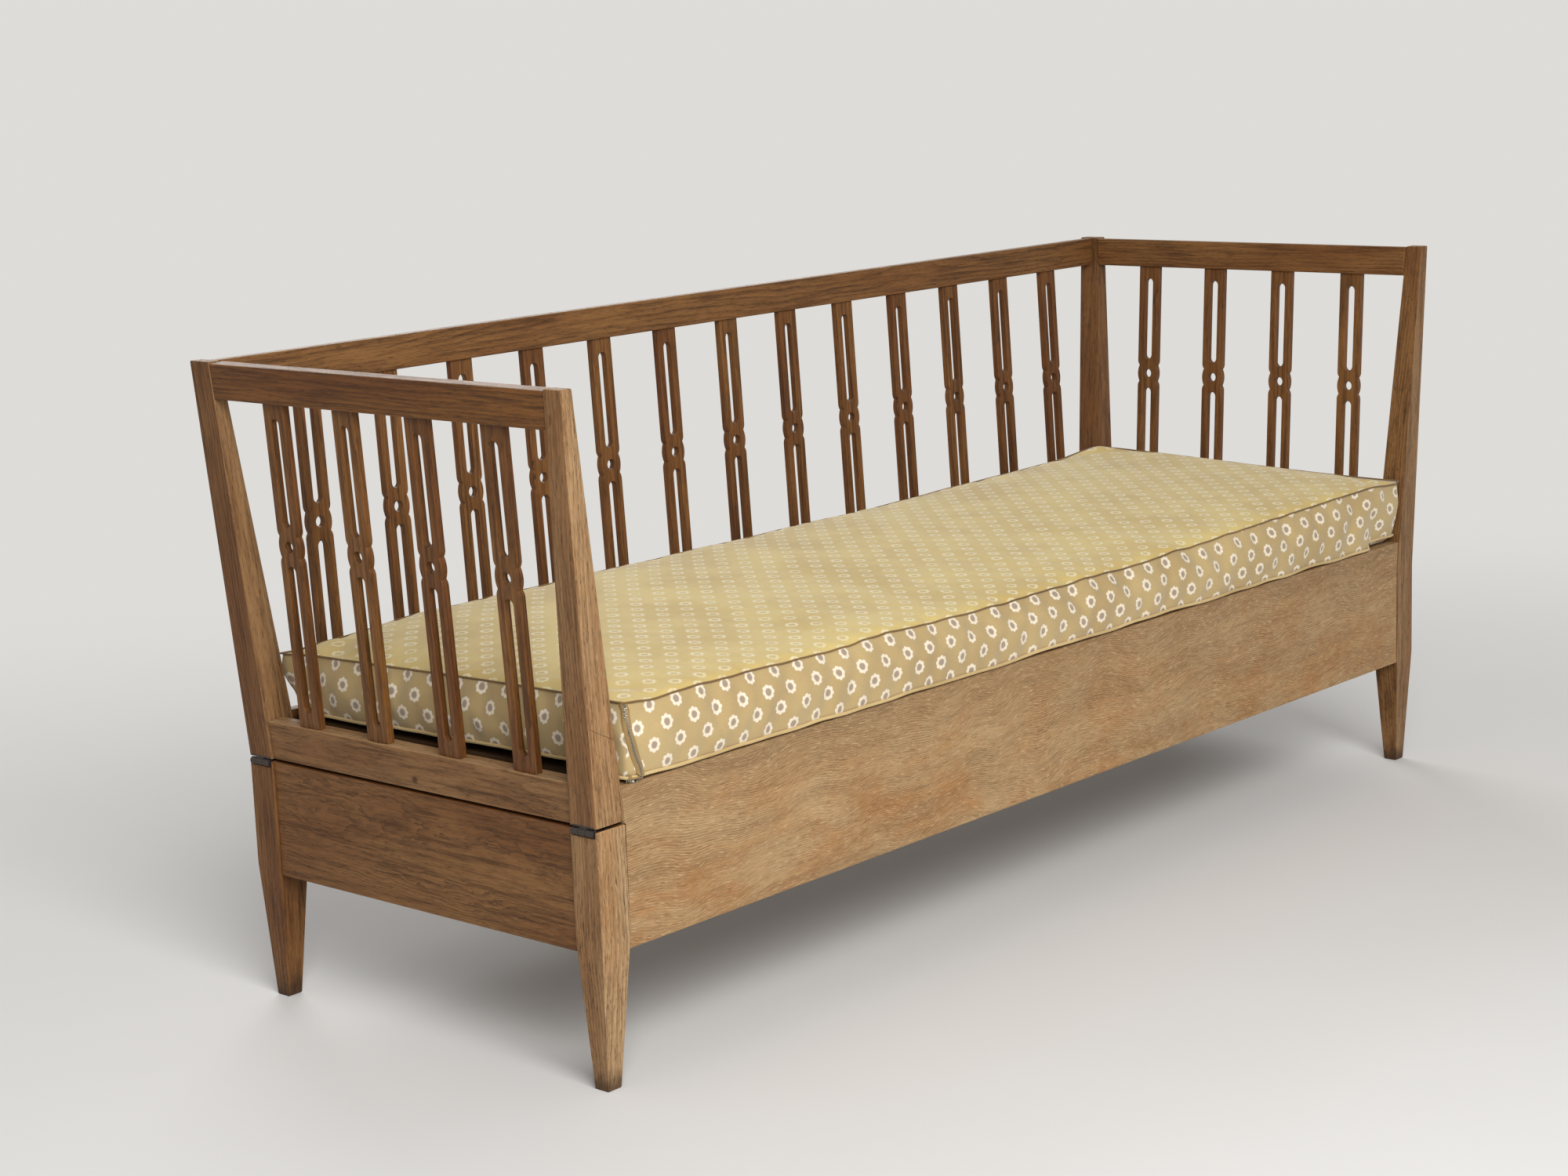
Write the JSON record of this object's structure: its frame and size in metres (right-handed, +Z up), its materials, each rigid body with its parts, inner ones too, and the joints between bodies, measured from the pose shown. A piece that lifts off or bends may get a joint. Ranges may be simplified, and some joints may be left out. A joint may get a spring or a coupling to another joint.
{
  "type": "drop-arm sofa",
  "caption": "Oak sofa with tapered legs, pierced splats in its back and ends, a boxed print cushion, and one end that hinges down to lengthen the seat.",
  "frame": {"origin": "on the floor, under the middle of the sofa's overall length and depth", "axes": "+X along the sofa, with the drop arm at -X; +Y from the front to the back; +Z up"},
  "size_m": [1.84, 0.629, 0.795],
  "materials": {
    "oak": "oiled oak with a worn satin sheen",
    "pine": "plain sawn softwood",
    "dark_steel": "darkened steel",
    "zinc_screws": "dull steel",
    "printed_cotton": "ochre cotton with a small white flower print",
    "cushion_filling": "foam and wadding"
  },
  "bodies": {
    "frame": {"back_apron": "oak", "back_bearer": "pine", "back_bottom_rail": "oak", "back_splat_01": "oak", "back_splat_02": "oak", "back_splat_03": "oak", "back_splat_04": "oak", "back_splat_05": "oak", "back_splat_06": "oak", "back_splat_07": "oak", "back_splat_08": "oak", "back_splat_09": "oak", "back_splat_10": "oak", "back_splat_11": "oak", "back_splat_12": "oak", "back_splat_13": "oak", "back_top_rail": "oak", "bearer_screws": "zinc_screws", "catch_clip": "dark_steel", "catch_screw": "zinc_screws", "front_apron": "oak", "front_bearer": "pine", "front_hinge_leg_leaf": "dark_steel", "front_hinge_pin": "dark_steel", "front_left_leg": "oak", "front_right_post": "oak", "hinge_leg_screws": "zinc_screws", "left_apron": "oak", "rear_hinge_leg_leaf": "dark_steel", "rear_hinge_pin": "dark_steel", "rear_left_leg": "oak", "rear_right_post": "oak", "right_apron": "oak", "right_bottom_rail": "oak", "right_splat_1": "oak", "right_splat_2": "oak", "right_splat_3": "oak", "right_splat_4": "oak", "right_top_rail": "oak", "seat_slats": "pine"},
    "drop_arm": {"arm_bottom_rail": "oak", "arm_front_post": "oak", "arm_rear_post": "oak", "arm_splat_1": "oak", "arm_splat_2": "oak", "arm_splat_3": "oak", "arm_splat_4": "oak", "arm_top_rail": "oak", "catch_stud": "dark_steel", "front_hinge_arm_leaf": "dark_steel", "front_stop_iron": "dark_steel", "hinge_arm_screws": "zinc_screws", "rear_hinge_arm_leaf": "dark_steel", "rear_stop_iron": "dark_steel", "stop_iron_screws": "zinc_screws"},
    "cushion": {"cushion_cover": "printed_cotton", "cushion_core": "cushion_filling"}
  },
  "joints": [
    {"name": "arm_drop", "type": "hinge", "parent": "frame", "child": "drop_arm", "pos_m": [-0.891, 0, 0.302], "axis": [0, -1, 0], "range_deg": [0, 87]},
    {"name": "cushion_lift", "type": "slide", "parent": "frame", "child": "cushion", "axis": [0, 0, 1], "range_m": [0, 0.3]}
  ]
}
